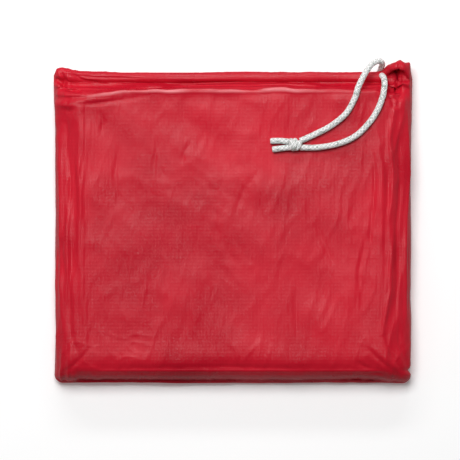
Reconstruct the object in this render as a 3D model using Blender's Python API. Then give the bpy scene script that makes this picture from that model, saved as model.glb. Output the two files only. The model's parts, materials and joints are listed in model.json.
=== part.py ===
"""Fire blanket: a folded glass cloth blanket in a soft film pouch with a drawstring mouth.

The pouch lies on its back. +Z is up, +Y points out of the mouth and +X runs across the mouth.
The origin is under the middle of the pouch's outline, on the surface that it lies on.
"""

import math

import bmesh
import bpy
from mathutils import Vector

# The folded blanket, which sets the size of the pouch.
BLANKET_WIDTH = 0.300  # across the folds, at the widest layer
BLANKET_LENGTH = 0.240  # along the pouch
BLANKET_HEIGHT = 0.028  # of the whole stack
LAYERS = 6  # of the last fold, each a bundle of five plies
LAYER_AIR = 0.0004  # between one layer and the next
END_ROUND = 0.006  # the stretch at each end over which the stack rounds down
END_SQUEEZE = 0.86  # the stack's height at its ends, as a share of its full height
SOFT_ROOM = 0.0009  # between the folds and the film

# The border that is turned over and stitched down.
HEM_WIDTH = 0.015
HEM_THICKNESS = 0.0007
STITCH_PITCH = 0.0075
STITCH_INSET = 0.003
THREAD = 0.0004

# The two pull tapes at the mouth end of the blanket.
TAPE_WIDTH = 0.025
TAPE_THICKNESS = 0.0012
TAPE_SEWN = 0.032  # the stretch that is sewn on top of the blanket
TAPE_DROP = 0.020  # how far it hangs down in front of the blanket's end
TAPE_STAND_OFF = 0.0018  # from the blanket's end to the middle of the tape
TAPE_BEND = 0.0018
TAPE_FROM_MIDDLE = 0.085
TAPE_ROWS = 3

# The film pouch.
FILM = 0.0005
GAP = 0.0003  # between pieces that touch
SEAM_GAP = 0.0007  # between the rims of the two films, where the weld lies
CORD_GAP = 0.0009  # between two lengths of the cord
WELD_WIDTH = 0.005
WELD_THICKNESS = 0.001
SIDE_ROOM = 0.0005
TOP_ROOM = 0.0030
BOTTOM_SLACK = 0.00675  # from the bottom weld to the blanket
MOUTH_ROOM = 0.0035  # from the blanket to the line where the front lip bends
LIP_REACH = 0.016  # from that line to the edge of the mouth
SEAM_HEIGHT = 0.012
SIDE_SLOPE = 0.030  # the front film's slope down to the side welds
END_SLOPE = 0.020  # and down to the bottom weld
BACK_SLOPE = 0.009  # the back film's short rise to the welds
SIDE_POWER = 3.0
END_POWER = 4.0
BACK_POWER = 2.0
BEND_ROOM = 0.0004  # from the front lip's axis to the film on either side of it

# The two casings with the drawstring.
CORD = 0.0052
CORD_ROOM = 0.00075  # over and under the cord in its casing
CORD_LOOSE = 0.00125  # before and behind it
SLIT_INSET = 0.0328  # from the pouch's right edge to the slit where the cord comes out
CORD_INSET = 0.0006  # how far the cord's runs stop inside the casings
CORD_SAG = 0.0004  # how far the cord lies below the middle of its casing
CORNER_RISE = 0.0095  # how far the right mouth corner stands past the mouth's edge
LEFT_CORNER_RISE = 0.0036
CORNER_INSET = 0.0195  # from the pouch's right edge to the inner end of the right corner
LEFT_CORNER_INSET = 0.0075
KNOT_LENGTH = 0.0110
KNOT_RADIUS = 0.0052
KNOT_NECK = 0.62  # the radius at its ends, as a share, before the turns' ripple
KNOT_TURNS = 0.08  # the ripple's depth, as a share of the radius
KNOT_STEPS, KNOT_SIDES = 12, 14

CORD_STEP = 0.0055  # between the points of a free cord
LEAD = 0.0014  # the straight start of a cord that leaves a casing
CORD_ROUNDNESS = 2  # bevel resolution
MITRE_LIMIT = 0.5  # how far a ribbon's corners may run out, as one over its half width

# Rings of the soft mouth corners, from left to right: share of the way across, shift along Y as a
# share of half the corner's length, height of the middle, half length as a share, half thickness.
RIGHT_CORNER = (
    (0.0, 0.10, 0.0150, 0.50, 0.0040),
    (0.2, 0.12, 0.0170, 0.86, 0.0064),
    (0.4, 0.00, 0.0180, 1.00, 0.0080),
    (0.6, 0.00, 0.0175, 0.97, 0.0082),
    (0.8, -0.06, 0.0160, 0.90, 0.0070),
    (1.0, -0.16, 0.0135, 0.62, 0.0032),
)
LEFT_CORNER = (
    (0.0, 0.10, 0.0120, 0.70, 0.0030),
    (0.33, 0.00, 0.0125, 0.92, 0.0062),
    (0.67, 0.00, 0.0128, 1.00, 0.0078),
    (1.0, 0.00, 0.0128, 0.94, 0.0072),
)
# The front lip's way down to the valley behind the cord: shares of the run and of the drop.
LIP_FALL = ((0.36, 0.20), (0.62, 0.52), (0.86, 0.86))
VALLEY_BEHIND = 0.62  # the valley's place behind the casing's middle, as a share of its width
CASING_TURNS = 20  # flats round a casing
SOFT_SIDES = 16  # flats round a mouth corner

# What follows from them.
PITCH = BLANKET_HEIGHT / LAYERS
LAYER = PITCH - LAYER_AIR
INNER_X = BLANKET_WIDTH / 2 + SIDE_ROOM + FILM  # where the film meets the side welds
EDGE_X = INNER_X + WELD_WIDTH
PLAN_LENGTH = WELD_WIDTH + BOTTOM_SLACK + BLANKET_LENGTH + MOUTH_ROOM + LIP_REACH
BOTTOM_Y = -(PLAN_LENGTH + CORNER_RISE) / 2
INNER_Y = BOTTOM_Y + WELD_WIDTH
BLANKET_START = INNER_Y + BOTTOM_SLACK
BLANKET_END = BLANKET_START + BLANKET_LENGTH
HINGE_Y = BLANKET_END + MOUTH_ROOM
MOUTH_Y = HINGE_Y + LIP_REACH
BLANKET_BASE = FILM + GAP
BLANKET_TOP = BLANKET_BASE + BLANKET_HEIGHT
FRONT_HEIGHT = BLANKET_TOP + TOP_ROOM + FILM
HINGE_Z = FRONT_HEIGHT - FILM / 2
CASING_WIDTH = CORD + 2 * (FILM + CORD_LOOSE)
CASING_HEIGHT = CORD + 2 * (FILM + CORD_ROOM)
CASING_Y = MOUTH_Y - CASING_WIDTH / 2
BACK_CASING_Z = CASING_HEIGHT / 2
FRONT_CASING_Z = BACK_CASING_Z + CASING_HEIGHT + GAP
BEND_RADIUS = (FRONT_CASING_Z - BACK_CASING_Z) / 2
BEND_REACH = CORD_INSET + CORD_GAP + LEAD + BEND_RADIUS + CORD / 2
CASING_LEFT_X = LEFT_CORNER_INSET + GAP + BEND_REACH - EDGE_X
SLIT_X = EDGE_X - SLIT_INSET

FILM_RED = (0.62, 0.012, 0.035, 1.0)
WELD_RED = (0.48, 0.006, 0.022, 1.0)
CORD_WHITE = (0.86, 0.87, 0.86, 1.0)
GLASS_CLOTH = (0.80, 0.79, 0.74, 1.0)
TAPE_BLACK = (0.03, 0.03, 0.035, 1.0)
THREAD_WHITE = (0.85, 0.84, 0.80, 1.0)


def clear_scene():
    for thing in list(bpy.data.objects):
        bpy.data.objects.remove(thing, do_unlink=True)


def solid(name, bm):
    """A mesh from a closed bmesh, with its faces pointing out."""
    bmesh.ops.recalc_face_normals(bm, faces=bm.faces)
    mesh = bpy.data.meshes.new(name)
    bm.to_mesh(mesh)
    bm.free()
    mesh.shade_smooth()
    mesh.set_sharp_from_angle(angle=math.radians(40))
    return mesh


def finish(name, data, colour, roughness, metallic=0.0):
    """Makes the named object from a mesh or a curve, with a material of its own."""
    material = bpy.data.materials.new(name)
    material.use_nodes = True
    shader = material.node_tree.nodes["Principled BSDF"]
    shader.inputs["Base Color"].default_value = colour
    shader.inputs["Roughness"].default_value = roughness
    shader.inputs["Metallic"].default_value = metallic
    data.materials.append(material)
    thing = bpy.data.objects.new(name, data)
    bpy.context.scene.collection.objects.link(thing)
    return thing


def smooth(points, step):
    """Points about a step apart along the Catmull-Rom curve through the given points."""
    route = [Vector(p) for p in points]
    route = [2 * route[0] - route[1], *route, 2 * route[-1] - route[-2]]
    fine = []
    parts = 16
    for a, b, c, d in zip(route, route[1:], route[2:], route[3:]):
        for k in range(parts):
            t = k / parts
            fine.append(
                0.5
                * (
                    2 * b
                    + (c - a) * t
                    + (2 * a - 5 * b + 4 * c - d) * t**2
                    + (3 * b - a - 3 * c + d) * t**3
                )
            )
    fine.append(route[-2])
    total = sum((q - p).length for p, q in zip(fine, fine[1:]))
    count = max(2, round(total / step))
    kept = [fine[0]]
    gone = 0.0
    for p, q in zip(fine, fine[1:]):
        gone += (q - p).length
        if gone >= total * len(kept) / count - 1e-9 and len(kept) < count:
            kept.append(q)
    kept.append(fine[-1])
    return kept


def ribbon_faces(bm, path, thickness, place):
    """Quads across a ribbon's thickness along a path in a plane: one end of an extrusion."""
    ways = [(q - p).normalized() for p, q in zip(path, path[1:])]
    left, right = [], []
    for here, behind, ahead in zip(path, [ways[0], *ways], [*ways, ways[-1]]):
        along = (behind + ahead).normalized()
        across = Vector((-along.y, along.x))
        half = thickness / 2 / max(MITRE_LIMIT, along.dot(ahead))
        left.append(bm.verts.new(place(here + across * half)))
        right.append(bm.verts.new(place(here - across * half)))
    pairs = list(zip(left, right))
    return [bm.faces.new((a, c, d, b)) for (a, b), (c, d) in zip(pairs, pairs[1:])]


def extrude_on(bm, faces, move, squeeze=(1.0, 1.0, 1.0), middle=Vector(), inside=False):
    """Extrudes faces by a step and squeezes the new end about a point. Returns the new faces.

    Faces that would be left inside the solid are deleted.
    """
    made = bmesh.ops.extrude_face_region(bm, geom=faces)["geom"]
    if inside:
        bmesh.ops.delete(bm, geom=faces, context="FACES_ONLY")
    corners = [g for g in made if isinstance(g, bmesh.types.BMVert)]
    for corner in corners:
        spread = corner.co - middle
        corner.co = middle + Vector(s * k for s, k in zip(spread, squeeze)) + move
    return [g for g in made if isinstance(g, bmesh.types.BMFace)]


def box_into(bm, low, high):
    """Adds a box between two corners."""
    size = [h - l for l, h in zip(low, high)]
    made = bmesh.ops.create_cube(bm, size=1.0)["verts"]
    middle = (Vector(low) + Vector(high)) / 2
    for corner in made:
        corner.co = Vector(c * s for c, s in zip(corner.co, size)) + middle


# The pouch's film


def slope_stations(reach, power, steps):
    """(distance in from the outline, height share) down a slope that ends upright."""
    stations = []
    for k in range(steps + 1):
        turn = math.pi / 2 * (1 - k / steps)
        stations.append((reach - reach * math.sin(turn) ** (2 / power), math.cos(turn)))
    return stations


def film_grid(front):
    """The outer surface of the front or the back film, as rows of points from the bottom weld."""
    side = slope_stations(SIDE_SLOPE if front else BACK_SLOPE, SIDE_POWER if front else BACK_POWER, 9)
    end = slope_stations(END_SLOPE if front else BACK_SLOPE, END_POWER if front else BACK_POWER, 7)
    inner = INNER_X - side[-1][0]
    middle = [(-inner + 2 * inner * k / 6, 1.0) for k in range(1, 6)]
    across = [(d - INNER_X, h) for d, h in side] + middle + [(INNER_X - d, h) for d, h in side[::-1]]
    rows = [(INNER_Y + d, h) for d, h in end]
    last = HINGE_Y - BEND_ROOM
    rows += [(rows[-1][0] + (last - rows[-1][0]) * k / 6, 1.0) for k in range(1, 7)]
    seam = SEAM_HEIGHT if front else SEAM_HEIGHT - SEAM_GAP
    rise = FRONT_HEIGHT - SEAM_HEIGHT if front else -seam
    return [[(x, y, seam + rise * hx * hy) for x, hx in across] for y, hy in rows]


def film_panel(name, front):
    bm = bmesh.new()
    grid = [[bm.verts.new(p) for p in row] for row in film_grid(front)]
    for low, high in zip(grid, grid[1:]):
        for a, b, c, d in zip(low, low[1:], high[1:], high):
            bm.faces.new((a, b, c, d) if front else (a, d, c, b))
    sheet = bpy.data.meshes.new(name)
    bm.to_mesh(sheet)
    bm.free()
    panel = finish(name, sheet, FILM_RED, 0.32)
    wall = panel.modifiers.new("wall", "SOLIDIFY")
    wall.thickness = FILM
    wall.offset = -1.0
    wall.use_even_offset = True
    return panel


def side_weld(name, side):
    """The flat strip where the front and back film are fused along one side."""
    start, end = INNER_X + GAP, EDGE_X
    bm = bmesh.new()
    low = (min(side * start, side * end), BOTTOM_Y + WELD_WIDTH + GAP, SEAM_HEIGHT - WELD_THICKNESS)
    high = (max(side * start, side * end), HINGE_Y - BEND_ROOM, SEAM_HEIGHT)
    box_into(bm, low, high)
    return finish(name, solid(name, bm), WELD_RED, 0.38)


def bottom_weld():
    bm = bmesh.new()
    low = (-EDGE_X, BOTTOM_Y, SEAM_HEIGHT - WELD_THICKNESS)
    high = (EDGE_X, INNER_Y - GAP, SEAM_HEIGHT)
    box_into(bm, low, high)
    return finish("bottom_weld", solid("bottom_weld", bm), WELD_RED, 0.38)


# The mouth


def casing_arc(centre, start, end, steps):
    """Points round the film's middle in a casing, from one angle to another, in degrees."""
    across = (CASING_WIDTH - FILM) / 2
    up = (CASING_HEIGHT - FILM) / 2
    turns = [math.radians(start + (end - start) * k / steps) for k in range(steps + 1)]
    return [Vector((centre[0] + across * math.cos(a), centre[1] + up * math.sin(a))) for a in turns]


def casing(name, path, left, right):
    """A film strip with this outline in the YZ plane, running across the mouth."""
    bm = bmesh.new()
    faces = ribbon_faces(bm, path, FILM, lambda p: Vector((left, p.x, p.y)))
    extrude_on(bm, faces, Vector((right - left, 0, 0)))
    return finish(name, solid(name, bm), FILM_RED, 0.32)


def front_casing():
    """The front lip: it drops from its bend to a valley, then rolls over the cord."""
    centre = (CASING_Y, FRONT_CASING_Z)
    top = Vector((HINGE_Y + BEND_ROOM, HINGE_Z, 0))
    valley = Vector((CASING_Y - CASING_WIDTH * VALLEY_BEHIND, FRONT_CASING_Z, 0))
    run, drop = valley.x - top.x, top.y - valley.y
    fall = [top + Vector((run * along, -drop * down, 0)) for along, down in LIP_FALL]
    slope = [p.to_2d() for p in smooth([top, *fall, valley], CASING_WIDTH / 5)]
    path = slope + casing_arc(centre, 165, -150, CASING_TURNS)
    return casing("front_casing", path, CASING_LEFT_X, SLIT_X)


def back_casing():
    """The back lip: it lies flat and rolls up over the cord."""
    centre = (CASING_Y, BACK_CASING_Z)
    flat = [Vector((HINGE_Y + BEND_ROOM, FILM / 2)), Vector((CASING_Y - CASING_WIDTH / 4, FILM / 2))]
    path = flat + casing_arc(centre, -90, 228, CASING_TURNS)
    return casing("back_casing", path, CASING_LEFT_X, SLIT_X)


def tube_faces(bm, loops):
    """Closes a row of loops of corners with quads between them and a cap at each end."""
    for low, high in zip(loops, loops[1:]):
        for k in range(len(low)):
            n = (k + 1) % len(low)
            bm.faces.new((low[k], low[n], high[n], high[k]))
    bm.faces.new(loops[0])
    bm.faces.new(loops[-1])


def mouth_corner(name, left, right, near, tip, rings):
    """A closed soft shape of twisted film, from one x to another and from one y to another."""
    bm = bmesh.new()
    middle, reach = (tip + near) / 2, (tip - near) / 2
    turns = [2 * math.pi * k / SOFT_SIDES for k in range(SOFT_SIDES)]
    loops = []
    for across, shift, height, length, thickness in rings:
        x = left + (right - left) * across
        y = middle + reach * shift
        points = [(x, y + reach * length * math.cos(a), height + thickness * math.sin(a)) for a in turns]
        loops.append([bm.verts.new(p) for p in points])
    tube_faces(bm, loops)
    return finish(name, solid(name, bm), FILM_RED, 0.32)


def mouth_corners():
    """The right end of the mouth stands up past the edge; the left end is pinched."""
    tip = MOUTH_Y + CORNER_RISE
    mouth_corner("right_mouth_corner", EDGE_X - CORNER_INSET, EDGE_X, HINGE_Y, tip, RIGHT_CORNER)
    near = HINGE_Y + 2 * BEND_ROOM
    tip = MOUTH_Y + LEFT_CORNER_RISE
    mouth_corner("left_mouth_corner", -EDGE_X, LEFT_CORNER_INSET - EDGE_X, near, tip, LEFT_CORNER)


# The drawstring


def cord(name, route, step=CORD_STEP):
    """A tube along the smooth curve through the route's points."""
    curve = bpy.data.curves.new(name, "CURVE")
    curve.dimensions = "3D"
    curve.bevel_depth = CORD / 2
    curve.bevel_resolution = CORD_ROUNDNESS
    curve.use_fill_caps = True
    points = smooth(route, step)
    spline = curve.splines.new("POLY")
    spline.points.add(len(points) - 1)
    for place, point in zip(spline.points, points):
        place.co = (*point, 1.0)
    return finish(name, curve, CORD_WHITE, 0.62)


def cord_runs():
    """The cord inside the casings, with the bend that joins the two runs at the left."""
    left, right = CASING_LEFT_X - CORD_INSET, SLIT_X - CORD_INSET
    middle = (FRONT_CASING_Z + BACK_CASING_Z) / 2
    radius = BEND_RADIUS
    step = (right - left) / 12
    front, back = FRONT_CASING_Z - CORD_SAG, BACK_CASING_Z - CORD_SAG
    cord("drawstring_front_run", [(left, CASING_Y, front), (right, CASING_Y, front)], step)
    cord("drawstring_back_run", [(left, CASING_Y, back), (right, CASING_Y, back)], step)
    turns = [math.pi / 2 + math.pi * k / 8 for k in range(9)]
    start = left - CORD_GAP
    turn_x, turn_z = start - LEAD, middle - CORD_SAG
    bend = [(turn_x + radius * math.cos(a), CASING_Y, turn_z + radius * math.sin(a)) for a in turns]
    cord("drawstring_left_bend", [(start, CASING_Y, front), *bend, (start, CASING_Y, back)], radius / 3)


# The free part of the cord: x is measured from the slit and y from the middle of the casings.
ON_FACE = FRONT_HEIGHT + GAP + CORD / 2
KNOT_X, KNOT_Y = SLIT_X - 0.0709, CASING_Y - 0.0591
KNOT_END = KNOT_X + KNOT_LENGTH / 2 + GAP - SLIT_X
TAIL_START = KNOT_X - KNOT_LENGTH / 2 - GAP - SLIT_X


def from_slit(name, points, step=CORD_STEP):
    cord(name, [(SLIT_X + x, CASING_Y + y, z) for x, y, z in points], step)


def free_cord():
    """Both ends of the cord leave at the slit, lie on the front and are knotted together."""
    start = CORD_GAP - CORD_INSET
    back, front = BACK_CASING_Z - CORD_SAG, FRONT_CASING_Z - CORD_SAG
    exit_route = [
        (start, 0, back),
        (start + LEAD, 0, back),
        (0.0030, 0.0016, 0.0046),
        (0.0042, 0.0040, 0.0066),
        (0.0051, 0.0061, 0.0094),
    ]
    from_slit("drawstring_back_exit", exit_route, CORD / 4)
    over = [
        (0.0055, 0.0071, 0.0106),
        (0.0059, 0.0088, 0.0152),
        (0.0064, 0.0111, 0.0199),
        (0.0054, 0.0128, 0.0238),
        (0.0026, 0.0134, 0.0265),
        (-0.0010, 0.0120, 0.0284),
        (-0.0042, 0.0093, 0.0298),
        (-0.0092, 0.0019, 0.0320),
        (-0.0140, -0.0075, 0.0346),
        (-0.0160, -0.0130, ON_FACE + GAP),
        (-0.0179, -0.0190, ON_FACE),
        (-0.0254, -0.0321, ON_FACE),
        (-0.0379, -0.0425, ON_FACE),
        (-0.0519, -0.0500, ON_FACE),
        (KNOT_END, -0.0559, ON_FACE),
    ]
    from_slit("drawstring_over_strand", over)
    near = [
        (start, 0, front),
        (start + LEAD, 0, front),
        (0.0044, 0.0003, 0.0123),
        (0.0060, 0.0010, 0.0151),
        (0.0066, 0.0008, 0.0192),
        (0.0076, -0.0012, 0.0242),
        (0.0080, -0.0040, 0.0292),
        (0.0079, -0.0080, 0.0334),
        (0.0072, -0.0128, ON_FACE + GAP),
        (0.0061, -0.0181, ON_FACE),
        (0.0012, -0.0303, ON_FACE),
        (-0.0066, -0.0416, ON_FACE),
        (-0.0179, -0.0521, ON_FACE),
        (-0.0327, -0.0585, ON_FACE),
        (-0.0501, -0.0616, ON_FACE),
        (KNOT_END, -0.0617, ON_FACE),
    ]
    from_slit("drawstring_front_strand", near)
    beside = CORD / 2 + GAP
    middle = KNOT_Y - CASING_Y
    long_tail = [(TAIL_START, middle + beside, ON_FACE), (-0.0910, middle + beside, ON_FACE)]
    short_tail = [(TAIL_START, middle - beside, ON_FACE), (-0.0893, middle - 1.5 * beside, ON_FACE)]
    from_slit("drawstring_long_tail", long_tail)
    from_slit("drawstring_short_tail", short_tail)


def knot():
    """An overhand knot: a short barrel with two fat turns, lying on the front."""
    bm = bmesh.new()
    sides = [2 * math.pi * n / KNOT_SIDES for n in range(KNOT_SIDES)]
    middle = FRONT_HEIGHT + GAP + KNOT_RADIUS
    loops = []
    for k in range(KNOT_STEPS + 1):
        share = k / KNOT_STEPS
        fat = KNOT_NECK + (1 - KNOT_NECK - KNOT_TURNS) * math.sin(math.pi * share)
        radius = KNOT_RADIUS * (fat - KNOT_TURNS * math.cos(4 * math.pi * share))
        x = KNOT_X + KNOT_LENGTH * (share - 0.5)
        loops.append(
            [bm.verts.new((x, KNOT_Y + radius * math.cos(a), middle + radius * math.sin(a))) for a in sides]
        )
    tube_faces(bm, loops)
    finish("drawstring_knot", solid("drawstring_knot", bm), CORD_WHITE, 0.62)


# The blanket


def front_reach(height):
    """How far from the middle the front film's inside still clears this height."""
    share = min(1.0, max(0.0, (height + FILM + SOFT_ROOM - SEAM_HEIGHT) / (FRONT_HEIGHT - SEAM_HEIGHT)))
    return INNER_X - FILM - GAP - SIDE_SLOPE + SIDE_SLOPE * (1 - share**2) ** (1 / SIDE_POWER)


def back_reach(height):
    """How far from the middle the back film's inside is still below this height."""
    share = min(1.0, max(0.0, (height - FILM - SOFT_ROOM) / SEAM_HEIGHT))
    return INNER_X - FILM - GAP - BACK_SLOPE + BACK_SLOPE * (1 - (1 - share) ** 2) ** (1 / BACK_POWER)


def fold_middle(height, radius):
    """How far from the middle a round fold may have its centre, so that it clears both films."""
    rooms = [BLANKET_WIDTH / 2 - radius]
    for k in range(13):
        turn = math.pi / 2 * k / 12
        out, up = radius * math.cos(turn), radius * math.sin(turn)
        rooms.append(front_reach(height + up) - out)
        rooms.append(back_reach(height - up) - out)
    return min(rooms)


def folded_path():
    """The middle of the cloth in the XZ plane, layer by layer from the bottom."""
    levels = [BLANKET_BASE + PITCH * (k + 0.5) for k in range(LAYERS)]
    outer = (PITCH + LAYER) / 2
    first = min(BLANKET_WIDTH / 2, back_reach(levels[0] - LAYER / 2))
    path = [Vector((-first, levels[0])), Vector((0, levels[0]))]
    for k in range(LAYERS - 1):
        side = 1 if k % 2 == 0 else -1
        height = (levels[k] + levels[k + 1]) / 2
        middle = fold_middle(height, outer)
        for n in range(9):
            turn = math.pi * n / 8 - math.pi / 2
            out, up = PITCH / 2 * math.cos(turn), PITCH / 2 * math.sin(turn)
            path.append(Vector((side * (middle + out), height + up)))
        path.append(Vector((0, levels[k + 1])))
    last = 1 if LAYERS % 2 == 0 else -1
    path.append(Vector((-last * front_reach(levels[-1] + LAYER / 2), levels[-1])))
    return path


def blanket_cloth():
    bm = bmesh.new()
    middle = Vector((0, BLANKET_START, BLANKET_BASE + BLANKET_HEIGHT / 2))
    faces = ribbon_faces(bm, folded_path(), LAYER, lambda p: Vector((p.x, BLANKET_START, p.y)))
    for corner in bm.verts:
        corner.co.z = middle.z + (corner.co.z - middle.z) * END_SQUEEZE
    faces = extrude_on(bm, faces, Vector((0, END_ROUND, 0)), (1, 1, 1 / END_SQUEEZE), middle)
    middle.y += END_ROUND
    faces = extrude_on(bm, faces, Vector((0, BLANKET_LENGTH - 2 * END_ROUND, 0)), inside=True)
    middle.y += BLANKET_LENGTH - 2 * END_ROUND
    extrude_on(bm, faces, Vector((0, END_ROUND, 0)), (1, 1, END_SQUEEZE), middle, inside=True)
    finish("blanket_cloth", solid("blanket_cloth", bm), GLASS_CLOTH, 0.85)


def hem():
    """The turned border along the free end of the top layer, and its row of stitches."""
    side = -1 if LAYERS % 2 == 0 else 1
    outer = front_reach(BLANKET_TOP + 2 * GAP + HEM_THICKNESS + 1.5 * THREAD)
    base = BLANKET_TOP + GAP
    start, end = BLANKET_START + 1.5 * END_ROUND, BLANKET_END - 1.5 * END_ROUND
    border = sorted((side * outer, side * (outer - HEM_WIDTH)))
    bm = bmesh.new()
    box_into(bm, (border[0], start, base), (border[1], end, base + HEM_THICKNESS))
    finish("blanket_hem", solid("blanket_hem", bm), GLASS_CLOTH, 0.85)
    line = side * (outer - HEM_WIDTH * 0.75)
    top = base + HEM_THICKNESS + GAP
    count = round((end - start) / STITCH_PITCH)
    path = []
    for k in range(4 * count + 1):
        dip = THREAD / 5 * (1 - math.cos(math.pi * k / 2))
        path.append(Vector((start + (end - start) * k / (4 * count), top + THREAD - dip)))
    bm = bmesh.new()
    faces = ribbon_faces(bm, path, THREAD, lambda p: Vector((line - THREAD, p.x, p.y)))
    extrude_on(bm, faces, Vector((2 * THREAD, 0, 0)))
    finish("hem_stitching", solid("hem_stitching", bm), THREAD_WHITE, 0.7)


def pull_tape(name, middle):
    """A webbing tape sewn on top of the blanket, with its end hanging down in the mouth."""
    level = BLANKET_TOP + GAP + TAPE_THICKNESS / 2
    front = BLANKET_END + TAPE_STAND_OFF
    path = [Vector((BLANKET_END - TAPE_SEWN, level)), Vector((front - TAPE_BEND, level))]
    for k in range(1, 6):
        turn = math.pi / 2 * (1 - k / 5)
        out, up = TAPE_BEND * math.cos(turn), TAPE_BEND * math.sin(turn)
        path.append(Vector((front - TAPE_BEND + out, level - TAPE_BEND + up)))
    path.append(Vector((front, level - TAPE_DROP)))
    bm = bmesh.new()
    faces = ribbon_faces(bm, path, TAPE_THICKNESS, lambda p: Vector((middle - TAPE_WIDTH / 2, p.x, p.y)))
    extrude_on(bm, faces, Vector((TAPE_WIDTH, 0, 0)))
    finish(name, solid(name, bm), TAPE_BLACK, 0.75)


def tape_stitching(name, middle):
    """One line of stitches that runs to and fro across the sewn part of a tape."""
    top = BLANKET_TOP + 2 * GAP + TAPE_THICKNESS
    half = TAPE_WIDTH / 2 - STITCH_INSET
    start = BLANKET_END - TAPE_SEWN + STITCH_INSET
    pitch = (TAPE_SEWN - END_ROUND - 2 * STITCH_INSET) / (TAPE_ROWS - 1)
    path = []
    for row in range(TAPE_ROWS):
        side = 1 if row % 2 == 0 else -1
        path.append(Vector((middle - side * half, start + pitch * row)))
        path.append(Vector((middle + side * half, start + pitch * row)))
    bm = bmesh.new()
    faces = ribbon_faces(bm, path, 2 * THREAD, lambda p: Vector((p.x, p.y, top)))
    extrude_on(bm, faces, Vector((0, 0, THREAD)))
    finish(name, solid(name, bm), THREAD_WHITE, 0.7)


def main():
    clear_scene()
    film_panel("back_panel", False)
    film_panel("front_panel", True)
    side_weld("left_side_weld", -1)
    side_weld("right_side_weld", 1)
    bottom_weld()
    back_casing()
    front_casing()
    mouth_corners()
    cord_runs()
    free_cord()
    knot()
    blanket_cloth()
    hem()
    for side, word in ((-1, "left"), (1, "right")):
        pull_tape(f"{word}_pull_tape", side * TAPE_FROM_MIDDLE)
        tape_stitching(f"{word}_tape_stitching", side * TAPE_FROM_MIDDLE)


if __name__ == "__main__":
    main()
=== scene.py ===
"""Fire blanket: a folded glass cloth blanket in a soft red film pouch with a drawstring.

Laid out as an add-on with one operator per group of pieces. Run as a script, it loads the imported
model, makes every visible piece on it and a plain studio round it. Lengths are metres.
"""

import json

import bpy
import numpy as np
from bpy.props import FloatProperty, FloatVectorProperty, IntProperty, PointerProperty
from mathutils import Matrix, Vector


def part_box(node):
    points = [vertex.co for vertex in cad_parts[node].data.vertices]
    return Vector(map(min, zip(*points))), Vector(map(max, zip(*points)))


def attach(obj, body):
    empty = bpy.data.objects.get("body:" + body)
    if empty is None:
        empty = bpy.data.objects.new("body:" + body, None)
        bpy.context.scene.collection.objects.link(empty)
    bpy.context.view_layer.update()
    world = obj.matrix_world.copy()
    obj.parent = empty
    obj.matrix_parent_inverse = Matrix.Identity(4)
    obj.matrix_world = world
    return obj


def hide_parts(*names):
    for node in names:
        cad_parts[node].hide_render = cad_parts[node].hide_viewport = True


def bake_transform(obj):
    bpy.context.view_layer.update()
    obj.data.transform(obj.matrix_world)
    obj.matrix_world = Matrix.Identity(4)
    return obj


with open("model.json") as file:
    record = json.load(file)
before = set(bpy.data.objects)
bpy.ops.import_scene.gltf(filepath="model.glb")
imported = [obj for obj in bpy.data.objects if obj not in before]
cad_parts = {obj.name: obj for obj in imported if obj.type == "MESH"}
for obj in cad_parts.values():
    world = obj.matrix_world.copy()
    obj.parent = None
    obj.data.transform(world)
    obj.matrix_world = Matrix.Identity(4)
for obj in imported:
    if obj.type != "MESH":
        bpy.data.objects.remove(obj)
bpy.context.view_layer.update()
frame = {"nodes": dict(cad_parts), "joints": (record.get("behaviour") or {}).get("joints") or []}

bl_info = {
    "name": "Fire blanket",
    "version": (1, 0, 0),
    "blender": (4, 5, 0),
    "location": "View3D > Sidebar > Fire blanket",
    "description": "Makes the look of a fire blanket in its film pouch on the packed model",
    "category": "Object",
}


# Places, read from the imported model

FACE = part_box("front_panel")
BOTTOM_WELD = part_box("bottom_weld")
SIDE_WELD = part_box("right_side_weld")
FRONT_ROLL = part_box("front_casing")
BACK_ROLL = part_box("back_casing")
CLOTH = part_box("blanket_cloth")
FRONT_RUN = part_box("drawstring_front_run")
BACK_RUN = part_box("drawstring_back_run")
LIP_HINGE = next(joint for joint in frame["joints"] if joint["name"] == "mouth_open")

EDGE_X = BOTTOM_WELD[1][0]
INNER_X = FACE[1][0]
BOTTOM_Y = BOTTOM_WELD[0][1]
INNER_Y = FACE[0][1]
MOUTH_Y = FRONT_ROLL[1][1]
BEND_Y = LIP_HINGE["pos_m"][1]
SEAM_Z = SIDE_WELD[1][2]
FACE_Z = FACE[1][2]
SLIT_X = FRONT_ROLL[1][0]
ROLL_START_X = FRONT_ROLL[0][0]
CORD = FRONT_RUN[1][2] - FRONT_RUN[0][2]
CASING_Y = (FRONT_RUN[0][1] + FRONT_RUN[1][1]) / 2
CASING_WIDTH = 2 * (MOUTH_Y - CASING_Y)
CASING_HEIGHT = BACK_ROLL[1][2] - BACK_ROLL[0][2]
FRONT_RUN_Z = (FRONT_RUN[0][2] + FRONT_RUN[1][2]) / 2
BACK_RUN_Z = (BACK_RUN[0][2] + BACK_RUN[1][2]) / 2


# Sizes that aren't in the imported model

CASING_GAP = 0.0003  # between the two casings when the mouth is closed
FRONT_CASING_Z = BACK_ROLL[1][2] + CASING_HEIGHT / 2 + CASING_GAP
WELD_LAP = 0.0012  # the slopes start this far outside the welds' inner edges
FACE_TOP = SEAM_Z + 0.010  # film above this height is on the face, and not on the lip
LAYER_GAP = 0.0004  # air between two layers of the folded blanket
END_MARGIN = 0.001  # from the folds of the pleats to the blanket's two ends
KNOT_CORD_RADIUS = 0.0021  # the cord is pulled tight in its knot
ROUTE_STEP = 0.00045  # between the rings of a stretch that shows
RUN_STEP = 0.0012  # between the rings of a run in a casing
HIDDEN_SIDES = 24  # faces round a stretch that the film hides
CAP_SWELL = 0.4  # the braid's swell at the middle of a cut end


def length_of(name, description, default):
    return FloatProperty(name=name, description=description, default=default, unit="LENGTH")


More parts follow.
